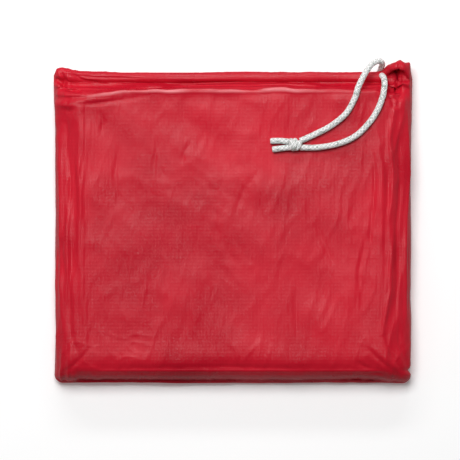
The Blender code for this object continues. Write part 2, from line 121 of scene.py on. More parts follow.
def colour_of(name, description, default):
    return FloatVectorProperty(
        name=name, description=description, default=default, size=3, subtype="COLOR"
    )


class FilmSizes(bpy.types.PropertyGroup):
    thickness: length_of("Film", "Thickness of the film", 0.0003)
    side_slope: length_of("Side slope", "How far in the film still falls to the sides", 0.036)
    end_slope: length_of("End slope", "How far in the film still falls to the bottom", 0.024)
    back_slope: length_of("Back slope", "How far in the back film rises to the weld", 0.009)
    wrinkles: FloatProperty(
        name="Wrinkles", description="Share of the full depth of the wrinkles", default=1.0
    )
    vinyl: colour_of("Film colour", "Colour of the vinyl film", (0.56, 0.006, 0.022))


class CordSizes(bpy.types.PropertyGroup):
    yarn: colour_of("Cord colour", "Colour of the braided yarn", (0.95, 0.95, 0.94))
    fleck: colour_of("Fleck colour", "Colour of the marker yarn", (0.36, 0.40, 0.37))
    yarns: IntProperty(name="Yarns", description="Yarns round the cord in each direction", default=8)
    pitch: length_of("Pitch", "Length of one full turn of a yarn", 0.015)


class BlanketSizes(bpy.types.PropertyGroup):
    layers: IntProperty(name="Layers", description="Layers of the last fold", default=6)
    plies: IntProperty(name="Plies", description="Plies of cloth in each layer", default=5)
    ply: length_of("Ply", "Thickness of one ply", 0.00062)
    glass: colour_of("Cloth colour", "Colour of the glass cloth", (0.74, 0.73, 0.68))
    tape: colour_of("Tape colour", "Colour of the pull tapes", (0.022, 0.022, 0.026))


class StageSizes(bpy.types.PropertyGroup):
    height: length_of("Camera height", "Height of the camera", 4.0)
    field: length_of("Field", "Width that the camera sees", 0.4002)


# Shapes as arrays


def smoothstep(low, high, value):
    """0 below low, 1 above high, and 3t^2 - 2t^3 between them."""
    t = np.clip((value - low) / (high - low), 0, 1)
    return t * t * (3 - 2 * t)


def bump(middle, width, value):
    """A bell, exp(-(distance / width)^2)."""
    return np.exp(-(((value - middle) / width) ** 2))


def noise(x, y, seed):
    """Value noise from -1 to 1: random numbers on a lattice of one unit, joined by smoothsteps."""
    size = 64
    table = np.random.default_rng(seed).uniform(-1, 1, (size, size))
    ix, iy = np.floor(x).astype(int), np.floor(y).astype(int)
    fx, fy = x - ix, y - iy
    fx, fy = fx * fx * (3 - 2 * fx), fy * fy * (3 - 2 * fy)
    a, b = table[ix % size, iy % size], table[(ix + 1) % size, iy % size]
    c, d = table[ix % size, (iy + 1) % size], table[(ix + 1) % size, (iy + 1) % size]
    return (a * (1 - fx) + b * fx) * (1 - fy) + (c * (1 - fx) + d * fx) * fy


def streaks(x, y, turn, across, along, seed):
    """Noise stretched along a direction that is turned from +Y by an angle in degrees."""
    t = np.radians(turn)
    u = (x * np.cos(t) + y * np.sin(t)) / across
    v = (y * np.cos(t) - x * np.sin(t)) / along
    return noise(u + 0.35 * noise(u * 0.4, v * 1.3, seed + 1), v, seed)


def folds(x, y, turn, across, along, seed):
    """Sharp-crested streaks: one less twice the absolute noise."""
    return 1 - 2 * np.abs(streaks(x, y, turn, across, along, seed))


def crests(x, y, turn, across, along, seed):
    """Short separate creases: only what of the folds is above 0.4."""
    return np.maximum(0, folds(x, y, turn, across, along, seed) - 0.40)


def towards(edge, value, reach):
    """0 further in than reach, and rising evenly to 1 at the edge."""
    return np.clip((value - edge) / reach + 1, 0, 1)


def surface(x, y, z):
    """Points from three arrays that are stretched to one shape."""
    return np.stack(np.broadcast_arrays(x, y, z), -1)


def new_piece(name, mesh, body=None):
    """An object that holds the mesh, on its body if it has one."""
    piece = bpy.data.objects.new(name, mesh)
    bpy.context.scene.collection.objects.link(piece)
    if body:
        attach(piece, body)
    return piece


def add_uv(mesh, corners):
    """A UV map from one pair of numbers for each corner of each face."""
    mesh.uv_layers.new(name="along").uv.foreach_set("vector", corners.astype(np.float32).ravel())


def add_value(mesh, name, values):
    """One number for each vertex, which a material reads by its name."""
    mesh.attributes.new(name, "FLOAT", "POINT").data.foreach_set("value", values.astype(np.float32).ravel())


def grid_piece(name, points, body=None, uv=None):
    """A smooth piece from an array of rows of points, with quads between neighbours."""
    rows, columns = points.shape[:2]
    at = np.arange(rows * columns).reshape(rows, columns)
    quads = np.stack([at[:-1, :-1], at[:-1, 1:], at[1:, 1:], at[1:, :-1]], -1).reshape(-1, 4)
    mesh = bpy.data.meshes.new(name)
    mesh.vertices.add(points.size // 3)
    mesh.vertices.foreach_set("co", points.astype(np.float32).ravel())
    mesh.loops.add(quads.size)
    mesh.loops.foreach_set("vertex_index", quads.astype(np.int32).ravel())
    mesh.polygons.add(len(quads))
    mesh.polygons.foreach_set("loop_start", np.arange(0, quads.size, 4, dtype=np.int32))
    mesh.update(calc_edges=True)
    mesh.polygons.foreach_set("use_smooth", np.ones(len(quads), bool))
    if uv is not None:
        add_uv(mesh, uv.reshape(-1, 2)[quads.ravel()])
    mesh.validate()
    return new_piece(name, mesh, body)


def add_wall(piece, thickness, offset=-1.0):
    """A wall on the inner side of the surface, or on both sides of it with offset 0."""
    wall = piece.modifiers.new("wall", "SOLIDIFY")
    wall.thickness = thickness
    wall.offset = offset
    wall.use_even_offset = False


def slope(inside, reach, power):
    """Height share of a superellipse that is upright at the outline and level once reach inside."""
    t = np.clip(1 - inside / reach, 0, 1)
    return np.sqrt(1 - t**power)


def along_route(x, y, route, width):
    """A bell of the distance to a broken line, faded out towards the line's two ends."""
    route = np.array(route)
    lengths = np.linalg.norm(np.diff(route, axis=0), axis=1)
    before = np.concatenate([[0], np.cumsum(lengths)])
    nearest, place = np.full(np.shape(x), 1.0), np.zeros(np.shape(x))
    for a, b, start, length in zip(route, route[1:], before, lengths):
        t = np.clip(((x - a[0]) * (b[0] - a[0]) + (y - a[1]) * (b[1] - a[1])) / length**2, 0, 1)
        away = np.hypot(x - a[0] - t * (b[0] - a[0]), y - a[1] - t * (b[1] - a[1]))
        place = np.where(away < nearest, start + t * length, place)
        nearest = np.minimum(nearest, away)
    share = place / before[-1]
    return np.exp(-((nearest / width) ** 2)) * np.sin(np.pi * np.clip(share, 0, 1)) ** 0.5


# The film


# Creases that the face keeps: the way of each, its half width and its depth. A negative depth is a
# raised fold.
CREASES = (
    (((-0.136, 0.102), (-0.12, 0.103), (-0.098, 0.1056), (-0.081, 0.1092), (-0.07, 0.11)), 0.0012, 0.0019),
    (((-0.136, 0.105), (-0.112, 0.1072), (-0.09, 0.1095), (-0.072, 0.1108)), 0.002, -0.001),
    (((-0.155, 0.1085), (-0.142, 0.1082), (-0.126, 0.1088)), 0.0026, 0.004),
    (((-0.155, 0.102), (-0.146, 0.1008), (-0.134, 0.099)), 0.003, -0.0012),
    (((-0.15, 0.099), (-0.141, 0.096), (-0.134, 0.0985)), 0.002, 0.0011),
    (((-0.146, 0.096), (-0.143, 0.062), (-0.1395, 0.035), (-0.1385, 0.005)), 0.0032, 0.0022),
    (((-0.15, 0.08), (-0.1478, 0.02), (-0.1486, -0.04), (-0.1465, -0.095)), 0.0015, -0.0022),
    (((-0.133, 0.09), (-0.1345, 0.05), (-0.132, 0.01), (-0.1345, -0.04)), 0.0018, -0.0014),
    (((-0.144, 0.03), (-0.1425, -0.01), (-0.144, -0.07)), 0.0014, -0.0016),
    (((-0.139, -0.015), (-0.1425, -0.05), (-0.141, -0.086), (-0.136, -0.113)), 0.0028, 0.0019),
    (((-0.116, 0.096), (-0.112, 0.087), (-0.115, 0.076)), 0.002, 0.0009),
    (((-0.064, 0.076), (-0.069, 0.05), (-0.068, 0.036)), 0.0014, 0.0008),
    (((-0.033, 0.074), (-0.042, 0.06), (-0.044, 0.048)), 0.0014, 0.0008),
    (((0.144, 0.098), (0.1445, 0.045), (0.1425, -0.005), (0.144, -0.048), (0.138, -0.09)), 0.0032, 0.0022),
    (((0.15, 0.1), (0.1512, 0.04), (0.149, -0.03), (0.15, -0.09)), 0.0015, -0.0024),
    (((0.135, 0.09), (0.1375, 0.045), (0.135, 0.0)), 0.0016, -0.0015),
    (((0.138, -0.02), (0.136, -0.06), (0.129, -0.1)), 0.0018, -0.0016),
    (((0.121, 0.06), (0.1225, 0.02), (0.118, -0.022)), 0.0016, 0.001),
    (((0.13, 0.065), (0.134, 0.015), (0.131, -0.03)), 0.0022, 0.0013),
    (((0.116, -0.01), (0.108, -0.042), (0.112, -0.07)), 0.002, 0.0008),
    (((0.072, -0.002), (0.08, -0.019), (0.088, -0.036)), 0.0014, 0.0009),
    (((0.053, -0.06), (0.054, -0.082), (0.056, -0.1)), 0.0016, 0.0008),
    (((-0.016, -0.005), (-0.006, -0.024), (0.006, -0.038)), 0.0015, 0.0007),
    (((-0.098, 0.07), (-0.104, 0.04), (-0.096, 0.014)), 0.0017, 0.0007),
    (((0.024, 0.048), (0.01, 0.03), (0.002, 0.006)), 0.0018, 0.0006),
    (((0.148, -0.129), (0.137, -0.114), (0.132, -0.096)), 0.0019, 0.001),
    (((0.146, -0.133), (0.129, -0.12), (0.116, -0.109)), 0.0019, 0.001),
    (((0.142, -0.133), (0.123, -0.129), (0.106, -0.121)), 0.0017, 0.0008),
    (((0.151, -0.127), (0.145, -0.106), (0.144, -0.086)), 0.0017, 0.0009),
    (((-0.148, -0.132), (-0.134, -0.12), (-0.123, -0.108)), 0.0019, 0.0009),
    (((-0.15, -0.128), (-0.143, -0.112), (-0.14, -0.093)), 0.0018, 0.0008),
    (((-0.105, -0.129), (-0.05, -0.1262), (0.02, -0.1275), (0.09, -0.1262)), 0.0028, 0.0006),
)

# Folds that run along the lip, in the same form
LIP_FOLDS = (
    (((-0.154, 0.126), (-0.144, 0.117), (-0.132, 0.113)), 0.002, 0.003),
    (((-0.15, 0.132), (-0.146, 0.124), (-0.148, 0.115)), 0.0014, 0.0018),
    (((-0.14, 0.129), (-0.13, 0.1235), (-0.115, 0.1215)), 0.0011, 0.0014),
    (((-0.15, 0.1185), (-0.121, 0.118), (-0.072, 0.1178), (-0.029, 0.1212), (0.01, 0.1222)), 0.0011, 0.0016),
    (((-0.148, 0.1215), (-0.118, 0.1208), (-0.07, 0.1198), (-0.03, 0.119)), 0.0011, -0.0012),
    (((-0.15, 0.129), (-0.12, 0.1262), (-0.08, 0.1255)), 0.0009, 0.0009),
    (((-0.1, 0.1288), (-0.04, 0.127), (0.03, 0.1275)), 0.0008, 0.0006),
    (((0.02, 0.1268), (0.07, 0.1282), (0.115, 0.1266)), 0.0009, 0.0007),
    (((0.05, 0.118), (0.085, 0.1195), (0.12, 0.1175)), 0.0012, 0.0012),
    (((-0.02, 0.1165), (0.02, 0.1172), (0.05, 0.116)), 0.001, -0.0008),
)


def wrinkle_field(x, y):
    """Height of the front film's wrinkles: streaks in each band, faded into the next, and creases."""
    left, right = 1 - smoothstep(-0.143, -0.118, x), smoothstep(0.118, 0.140, x)
    side = np.maximum(left, right)
    low = 1 - smoothstep(-0.128, -0.100, y)
    middle = (1 - side) * (1 - low)
    patches = smoothstep(-0.1, 0.5, noise(x / 0.045, y / 0.045, 41))
    others = smoothstep(0.1, 0.5, noise(x / 0.037, y / 0.037, 141))
    field = 0.00055 * middle * streaks(x, y, 28, 0.046, 0.090, 3)
    field += 0.00100 * middle * (streaks(x, y, 52, 0.020, 0.038, 5) - 0.3)
    field += 0.00032 * middle * folds(x, y, 42, 0.033, 0.080, 7)
    field += 0.00034 * middle * folds(x, y, -14, 0.021, 0.075, 11)
    field += 0.00014 * streaks(x, y, 4, 0.0075, 0.045, 13)
    field += 0.00010 * folds(x, y, -24, 0.0060, 0.026, 17)
    field += 0.00070 * patches * crests(x, y, 38, 0.0085, 0.026, 43)
    field += 0.00070 * (1 - patches) * crests(x, y, -14, 0.0090, 0.030, 37)
    field += 0.00060 * others * crests(x, y, 72, 0.0075, 0.022, 143)
    field += 0.00150 * side * (0.7 + folds(x, y, 3, 0.0125, 0.080, 19))
    field += 0.00070 * side * folds(x, y, -7, 0.0062, 0.050, 23)
    field += 0.00055 * low * (1 - side) * streaks(x, y, 84, 0.0110, 0.070, 29)
    x_off = x + 0.0012 * noise(x / 0.02, y / 0.02, 47)
    y_off = y + 0.0012 * noise(x / 0.02, y / 0.02, 48)
    for route, width, depth in CREASES:
        field -= depth * along_route(x_off, y_off, route, width)
    return field


def lip_wrinkles(x, y, z):
    """Gathers across the lip and its roll, waves along X that run down the slope, and the lip's folds."""
    field = 0.00045 * folds(x, z, 0, 0.019, 0.030, 61) + 0.00020 * folds(x, z, 8, 0.0065, 0.020, 67)
    for route, width, depth in LIP_FOLDS:
        field -= depth * along_route(x, y, route, width) * (z > SEAM_Z)
    ends = np.maximum(1 - smoothstep(-0.150, -0.125, x), smoothstep(0.118, 0.134, x))
    return field + 0.00130 * ends * folds(x, z, 14, 0.0082, 0.018, 71)


def ear_valley(x, y, z):
    """Depth of the hollow between the ear and the face, and of the folds that fan out below it."""
    hollow = bump(0.1412, 0.0050, x) * smoothstep(0.104, 0.115, y) * (1 - smoothstep(0.1275, 0.1335, y))
    left = along_route(x, y, ((0.1330, 0.1300), (0.1365, 0.1140), (0.1400, 0.0980)), 0.0018)
    right = along_route(x, y, ((0.1480, 0.1320), (0.1455, 0.1160), (0.1420, 0.0990)), 0.0016)
    tip = along_route(x, y, ((0.1440, 0.1400), (0.1435, 0.1330), (0.1445, 0.1270)), 0.0011)
    return 0.0110 * hollow + 0.0024 * left + 0.0020 * right + 0.0014 * tip * (z > SEAM_Z)


def rim_droop(x, y):
    """How far the rim hangs down: more towards its edge, and wavy along it."""
    side = towards(EDGE_X, np.abs(x), 0.012) ** 2
    end = towards(-BOTTOM_Y, -y, INNER_Y + 0.004 - BOTTOM_Y) ** 1.7
    waves = 0.0016 * noise(y / 0.024, x * 0 + np.sign(x), 91) + 0.0012 * noise(x / 0.030, y * 0, 93)
    return np.maximum(side, end) * (0.0046 + waves)


def face_height(x, y, sizes):
    """The filled pouch: a superellipse slope in from each side times one up from the bottom weld."""
    across = slope(EDGE_X - np.abs(x), sizes.side_slope, 2.5)
    along = slope(y - INNER_Y + WELD_LAP, sizes.end_slope, 2.6)
    return SEAM_Z + (FACE_Z - SEAM_Z) * across * along - rim_droop(x, y)


def back_height(x, y, sizes):
    """The back film's outer side: level, with rounded slopes up to the drooping welds."""
    across = slope(EDGE_X - np.abs(x), sizes.back_slope + EDGE_X - INNER_X, 2.0)
    along = slope(y - INNER_Y + WELD_LAP, sizes.back_slope, 2.0)
    return (SEAM_Z - sizes.thickness - rim_droop(x, y)) * (1 - across * along)


def over_cloth(points):
    """Keeps the film above the blanket: a smooth maximum of its height and of the room it must leave.

    The room is larger over the two tapes and the sewn edge, and it ends with the blanket.
    """
    x, y, z = np.moveaxis(points, -1, 0)
    across = slope(np.maximum(INNER_X - np.abs(x), 0), 0.030, 3.0)
    along = slope(np.maximum(y - INNER_Y, 0), 0.020, 4.0)
    tapes = bump(0.085, 0.0190, np.abs(x)) * smoothstep(0.066, 0.076, y)
    sewn = np.maximum(np.clip(2 * tapes, 0, 1), 1 - smoothstep(-0.124, -0.112, x))
    least = CLOTH[1][2] + 0.0009 + 0.0017 * sewn
    least = np.minimum(SEAM_Z + (FACE_Z - SEAM_Z) * across * along - 0.0008, least)
    here = smoothstep(CLOTH[0][1] - 0.005, CLOTH[0][1] - 0.001, y)
    here *= 1 - smoothstep(CLOTH[1][1], CLOTH[1][1] + 0.003, y)
    here *= smoothstep(SEAM_Z + 0.002, SEAM_Z + 0.005, z) * (np.abs(x) < INNER_X)
    above = z - least + 0.03 * (1 - here)
    moved = points.copy()
    moved[..., 2] = z - above + 0.5 * (above + np.sqrt(above**2 + 0.0004**2))
    return moved


def in_plan(points):
    """Rounds the bottom corners as a disc fills a square, and draws the rim in by a wavy amount."""
    x, y = points[..., 0], points[..., 1]
    reach = 0.008
    u, v = towards(EDGE_X, np.abs(x), reach), towards(-BOTTOM_Y, -y, reach)
    out = towards(EDGE_X, np.abs(x), 0.024) ** 2 * (1 - smoothstep(0.090, 0.108, y))
    down = towards(-BOTTOM_Y, -y, 0.020) ** 2
    side_wave = 0.0006 * (1 + noise(y / 0.031, np.sign(x) * 3.0, 95))
    side_wave += 0.0003 * (1 + noise(y / 0.009, x * 0, 97))
    side_wave += 0.0024 * bump(-0.1285, 0.0022, y) * (x > 0)
    end_wave = 0.0005 * (1 + noise(x / 0.040, x * 0, 99)) + 0.0002 * (1 + noise(x / 0.008, x * 0, 98))
    moved = points.copy()
    moved[..., 0] -= np.sign(x) * (reach * u * (1 - np.sqrt(1 - v**2 / 2)) + out * side_wave)
    moved[..., 1] += reach * v * (1 - np.sqrt(1 - u**2 / 2)) + down * end_wave
    return moved


def mouth_profile(x):
    """The rolled edge at each x: its middle (y, z) and half sizes, through the corners at both ends."""
    roll_y, roll_z = CASING_WIDTH / 2, CASING_HEIGHT / 2
    stations = np.array([
        (-EDGE_X, 0.1270, 0.0100, 0.0012, 0.0004),
        (-EDGE_X + 0.003, 0.1292, 0.0128, 0.0042, 0.0026),
        (-EDGE_X + 0.008, 0.1290, 0.0135, 0.0050, 0.0040),
        (ROLL_START_X, 0.1272, 0.0130, 0.0054, 0.0042),
        (ROLL_START_X + 0.016, CASING_Y, FRONT_CASING_Z + 0.0004, roll_y + 0.0004, roll_z),
        (-0.060, CASING_Y - 0.0008, FRONT_CASING_Z, roll_y, roll_z),
        (0.0, CASING_Y, FRONT_CASING_Z, roll_y, roll_z),
        (SLIT_X + 0.0040, CASING_Y - 0.0002, FRONT_CASING_Z, roll_y, roll_z),
        (SLIT_X + 0.0070, 0.1276, 0.0120, 0.0034, 0.0032),
        (SLIT_X + 0.0100, 0.1300, 0.0150, 0.0042, 0.0050),
        (0.1385, 0.1330, 0.0190, 0.0052, 0.0072),
        (0.1430, 0.1348, 0.0205, 0.0054, 0.0080),
        (0.1480, 0.1342, 0.0200, 0.0058, 0.0078),
        (0.1530, 0.1310, 0.0165, 0.0066, 0.0060),
        (EDGE_X, 0.1250, 0.0105, 0.0014, 0.0004),
    ])
    return [np.interp(x, stations[:, 0], stations[:, k]) for k in range(1, 5)]


def shoulder_line(x):
    """Where the face turns down into the mouth: a wavy line that draws back at both ends."""
    stations = np.array([
        (-EDGE_X, 0.1080), (-0.140, 0.1085), (-0.126, 0.1097), (-0.104, 0.1118), (-0.096, 0.1130),
        (-0.072, 0.1135), (-0.028, 0.1134), (0.020, 0.1138), (0.036, 0.1150), (0.056, 0.1138),
        (0.110, 0.1142), (0.124, 0.1130), (0.136, 0.1085), (0.147, 0.1060), (EDGE_X, 0.1090),
    ])
    return np.interp(x, stations[:, 0], stations[:, 1]) + 0.0005 * noise(x / 0.011, x * 0, 52)


def across_pouch(count):
    """Places from rim to rim, closer together towards both: EDGE_X sin(turn) / sin(last turn)."""
    last = 1.35
    return EDGE_X * np.sin(np.linspace(-1, 1, count) * last) / np.sin(last)


def shares(count):
    """A column of shares from 0 to just under 1."""
    return np.linspace(0, 1, count, endpoint=False)[:, None]


def front_film_points(sizes):
    """Rows of the front film from the bottom weld over the face, down the lip and round the roll.

    The lip falls from the shoulder to the roll's start by a smoothstep, with a second low fold on the
    way. The roll is an arc of an ellipse.
    """
    x = across_pouch(261)
    middle_y, middle_z, half_y, half_z = mouth_profile(x)
    shoulder = shoulder_line(x)
    fine, coarse = BOTTOM_Y + 0.045, 0.085
    low = BOTTOM_Y + (fine - BOTTOM_Y) * shares(40) ** 1.25
    face = np.concatenate([low, fine + (coarse - fine) * shares(62)])
    top = coarse + (shoulder - coarse) * shares(14)
    first, last = np.radians(165.0), np.radians(-150.0)
    valley_y, valley_z = middle_y + half_y * np.cos(first), middle_z + half_z * np.sin(first)
    top_z = face_height(x, shoulder, sizes)
    t = shares(26)
    fall = smoothstep(0.0, 0.92, t) ** 0.85
    second = 0.0026 * bump(0.62 + 0.12 * noise(x / 0.05, x * 0, 55), 0.10, t)
    turn = np.linspace(first, last, 34)[:, None]
    return np.concatenate([
        surface(x, face, face_height(x, face, sizes)),
        surface(x, top, face_height(x, top, sizes)),
        surface(x, shoulder + (valley_y - shoulder) * t, top_z + (valley_z - top_z) * fall + second),
        surface(x, middle_y + half_y * np.cos(turn), middle_z + half_z * np.sin(turn)),
    ])


def front_film(sizes):
    """The front film, moved along its normals by its wrinkles, and marked along its shoulder for a painted
    highlight.
    """
    points = front_film_points(sizes)
    x, y, z = np.moveaxis(points, -1, 0)
    normal = np.cross(np.gradient(points, axis=1), np.gradient(points, axis=0))
    normal /= np.linalg.norm(normal, axis=-1, keepdims=True) + 1e-12
    rim = smoothstep(0, 0.004, EDGE_X - np.abs(x)) * smoothstep(0, 0.004, y - BOTTOM_Y)
    lip = smoothstep(BEND_Y - 0.010, BEND_Y, y)
    shoulder = y - shoulder_line(x)
    ridge = 0.0011 * bump(0, 0.0014, shoulder) * smoothstep(-0.128, -0.110, x)
    ridge *= (1 - smoothstep(0.070, 0.120, x)) * (z > FACE_TOP)
    depth = sizes.wrinkles * rim * (wrinkle_field(x, y) * (1 - lip) + lip * lip_wrinkles(x, y, z))
    depth += ridge - rim * ear_valley(x, y, z)
    moved = in_plan(over_cloth(points + normal * depth[..., None]))
    piece = grid_piece("front_film", moved, uv=moved[..., :2])
    # A mask for a painted highlight: a pale line along the shoulder ridge, where it would catch the light
    # from behind.
    shoulder_highlight = bump(0.0002, 0.0008, shoulder) * (0.55 + 0.45 * noise(x / 0.017, x * 0, 57))
    shoulder_highlight *= smoothstep(-0.134, -0.118, x) * (1 - smoothstep(0.060, 0.116, x)) * (moved[..., 2] > FACE_TOP)
    add_value(piece.data, "shoulder_highlight", np.clip(shoulder_highlight, 0, 1))
    return piece


def back_film(sizes):
    """The back film: level on the ground, up to the welds at its rims and rolled over its cord."""
    x = across_pouch(141)
    fine, bend = BOTTOM_Y + 0.030, BEND_Y - 0.002
    low = BOTTOM_Y + (fine - BOTTOM_Y) * shares(22) ** 1.2
    level = np.concatenate([low, fine + (bend - fine) * shares(40)])
    close = np.maximum(1 - smoothstep(-EDGE_X, -EDGE_X + 0.008, x), smoothstep(0.122, 0.140, x))
    middle_y, _, half_y, _ = mouth_profile(x)
    half_z = CASING_HEIGHT / 2 * (1 - 0.55 * close)
    middle_z = half_z + sizes.thickness + close * (SEAM_Z - 2 * half_z - 0.0022)
    middle_y = middle_y * close + CASING_Y * (1 - close)
    half_y = np.minimum(half_y * close + CASING_WIDTH / 2 * (1 - close), CASING_WIDTH / 2 + 0.0035 * close)
    start_z = back_height(x, bend, sizes)
    t = shares(10)
    rise = start_z + (middle_z - half_z - start_z) * smoothstep(0, 1, t)
    turn = np.radians(np.linspace(-90, 200, 26))[:, None]
    points = np.concatenate([
        surface(x, level, back_height(x, level, sizes)),
        surface(x, bend + (middle_y - bend) * t, rise),
        surface(x, middle_y + half_y * np.cos(turn), middle_z + half_z * np.sin(turn)),
    ])
    x, y = points[..., 0], points[..., 1]
    inside = smoothstep(0, 0.02, INNER_X - np.abs(x)) * smoothstep(0, 0.02, y - INNER_Y)
    inside *= y < BEND_Y - 0.004
    field = 0.00028 * folds(x, y, 24, 0.034, 0.09, 81) + 0.00016 * folds(x, y, -40, 0.019, 0.06, 83)
    points[..., 2] += sizes.wrinkles * inside * np.maximum(0, field + 0.0001)
    points = in_plan(points)[:, ::-1]
    return grid_piece("back_film", points, uv=points[..., :2])


# The drawstring


# The way of each stretch, in the order in which the cord passes its points
OVER_ROUTE = (
    (0.1287, 0.1336, 0.0106), (0.1291, 0.1353, 0.0152), (0.1296, 0.1376, 0.0199),
    (0.1286, 0.1393, 0.0238), (0.1258, 0.1399, 0.0265), (0.1222, 0.1385, 0.0284),
    (0.119, 0.1358, 0.0298), (0.114, 0.1284, 0.032), (0.1092, 0.119, 0.0346),
    (0.1072, 0.1135, 0.0355), (0.1053, 0.1075, 0.0352), (0.0978, 0.0944, 0.0352),
    (0.0853, 0.084, 0.0352), (0.0713, 0.0765, 0.0352), (0.0581, 0.0706, 0.0352),
)
FRONT_ROUTE = (
    (0.1235, 0.126525, 0.01145), (0.1249, 0.126525, 0.01145), (0.1276, 0.1268, 0.0123),
    (0.1292, 0.1275, 0.0151), (0.1298, 0.1273, 0.0192), (0.1308, 0.1253, 0.0242),
    (0.1312, 0.1225, 0.0292), (0.1311, 0.1185, 0.0334), (0.1304, 0.1137, 0.0355),
    (0.1293, 0.1084, 0.0352), (0.1244, 0.0962, 0.0352), (0.1166, 0.0849, 0.0352),
    (0.1053, 0.0744, 0.0352), (0.0905, 0.068, 0.0352), (0.0731, 0.0649, 0.0352),
    (0.0581, 0.0648, 0.0352),
)
EXIT_ROUTE = (
    (0.1235, 0.126525, 0.00345), (0.1249, 0.126525, 0.00345), (0.1262, 0.1281, 0.0046),
    (0.1274, 0.1305, 0.0066), (0.1285, 0.1331, 0.01),
)
LONG_TAIL_ROUTE = ((0.048, 0.07, 0.0352), (0.04, 0.0707, 0.035), (0.0322, 0.0704, 0.035))
SHORT_TAIL_ROUTE = ((0.048, 0.0648, 0.0352), (0.041, 0.064, 0.035), (0.0339, 0.0631, 0.035))


def smooth_route(route, step):
    """Points a step apart on the Catmull-Rom curve through the route, and the curve's length."""
    p = np.array(route, float)
    p = np.vstack([2 * p[0] - p[1], p, 2 * p[-1] - p[-2]])
    t = np.linspace(0, 1, 24, endpoint=False)[None, :, None]
    a, b, c, d = (p[k : len(p) - 3 + k, None, :] for k in range(4))
    fine = 0.5 * (2 * b + (c - a) * t + (2 * a - 5 * b + 4 * c - d) * t**2 + (3 * b - a - 3 * c + d) * t**3)
    fine = np.vstack([fine.reshape(-1, 3), p[-2]])
    gone = np.concatenate([[0], np.cumsum(np.linalg.norm(np.diff(fine, axis=0), axis=1))])
    even = np.linspace(0, gone[-1], max(3, int(round(gone[-1] / step)) + 1))
    return np.stack([np.interp(even, gone, fine[:, k]) for k in range(3)], -1), gone[-1]


def frames(path):
    """Two directions across a path at each of its points, which turn as little as they can."""
    along = np.gradient(path, axis=0)
    along /= np.linalg.norm(along, axis=1, keepdims=True)
    first = np.cross(along[0], (0.0, 0.0, 1.0))
    if np.linalg.norm(first) < 0.2:
        first = np.cross(along[0], (0.0, 1.0, 0.0))
    across = np.empty_like(path)
    across[0] = first / np.linalg.norm(first)
    for k in range(1, len(path)):
        kept = across[k - 1] - along[k] * (across[k - 1] @ along[k])
        across[k] = kept / np.linalg.norm(kept)
    return across, np.cross(along, across)


def tube(name, path, radius, body, sizes, sides=40):
    """A stretch of the braided cord: a circle carried along a path, swelled where a yarn lies on top.

    The yarns are two families of helices, and the swell is the higher of the two at each point. The
    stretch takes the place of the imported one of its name.
    """
    across, up = frames(path)
    s = np.concatenate([[0], np.cumsum(np.linalg.norm(np.diff(path, axis=0), axis=1))])[:, None]
    turn = np.linspace(0, 2 * np.pi, sides + 1)[None, :]
    lead = 2 * np.pi * s / sizes.pitch
    one, two = sizes.yarns * (turn + lead), sizes.yarns * (turn - lead)
    over = 0.5 + 0.5 * np.tanh(3 * np.sin((one + two) / 4) * np.sin((one - two) / 4))
    swell = over * np.abs(np.cos(one / 2)) + (1 - over) * np.abs(np.cos(two / 2))
    reach = np.asarray(radius).reshape(-1, 1) * (0.88 + 0.14 * swell)
    ring = np.cos(turn)[..., None] * across[:, None, :] + np.sin(turn)[..., None] * up[:, None, :]
    points = path[:, None, :] + reach[..., None] * ring
    uv = np.stack(np.broadcast_arrays(s, turn / (2 * np.pi)), -1)
    piece = closed_tube(f"cord_{name}", points, uv, swell, body)
    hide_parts(f"drawstring_{name}")
    return piece


def closed_tube(name, points, uv, swell, body):
    """Joins each ring's last point to its first, and closes both ends with a fan to the middle."""
    rows, columns = points.shape[0], points.shape[1] - 1
    at = np.arange(rows * columns).reshape(rows, columns)
    beside = np.roll(at, -1, axis=1)
    first, last = np.full(columns, rows * columns), np.full(columns, rows * columns + 1)
    faces = np.stack([at[:-1], beside[:-1], beside[1:], at[1:]], -1).reshape(-1, 4).tolist()
    faces += np.stack([beside[0], at[0], first], -1).tolist()
    faces += np.stack([at[-1], beside[-1], last], -1).tolist()
    ends = points[[0, -1], :-1].mean(axis=1)
    mesh = bpy.data.meshes.new(name)
    mesh.from_pydata(np.vstack([points[:, :-1].reshape(-1, 3), ends]).tolist(), [], faces)
    mesh.polygons.foreach_set("use_smooth", np.ones(len(faces), bool))
    corners = np.stack([uv[:-1, :-1], uv[:-1, 1:], uv[1:, 1:], uv[1:, :-1]], 2).reshape(-1, 2)
    add_uv(mesh, np.vstack([corners, np.zeros((3 * 2 * columns, 2))]))
    # The swell also sets the cord's colour: darker in the grooves between the yarns, as painted shade.
    add_value(mesh, "yarn", np.append(swell[:, :-1].ravel(), [CAP_SWELL, CAP_SWELL]))
    return new_piece(name, mesh, body)


def knot_path():
    """A doubled cord's turns: a helix of 2.4 turns round the cord, flattened, that leans along X."""
    middle = np.array([0.0526, 0.0674, FACE_Z + 0.0041])
    t = np.linspace(0, 1, 150)
    turn = 2 * np.pi * 2.4 * t + 0.6
    ring = 0.0030 + 0.0005 * np.sin(np.pi * t)
    x = 0.0040 - 0.0080 * t + 0.0014 * np.sin(turn)
    return middle + surface(x, 1.05 * ring * np.cos(turn), 0.62 * ring * np.sin(turn))


def left_bend_path(left):
    """The half circle at the left end of the mouth, from the front casing's run to the back one's."""
    middle, half = (FRONT_RUN_Z + BACK_RUN_Z) / 2, (FRONT_RUN_Z - BACK_RUN_Z) / 2
    turns = np.linspace(np.pi / 2, 3 * np.pi / 2, 24)
    bend = surface(left - 0.0023 + half * np.cos(turns), CASING_Y, middle + half * np.sin(turns))
    return np.vstack([[left, CASING_Y, FRONT_RUN_Z], bend, [left, CASING_Y, BACK_RUN_Z]])


# The blanket


def side_reach(packed, level, half, side):
    """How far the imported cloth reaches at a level, on one side."""
    return (side * packed[np.abs(packed[:, 2] - level) < half, 0]).max()


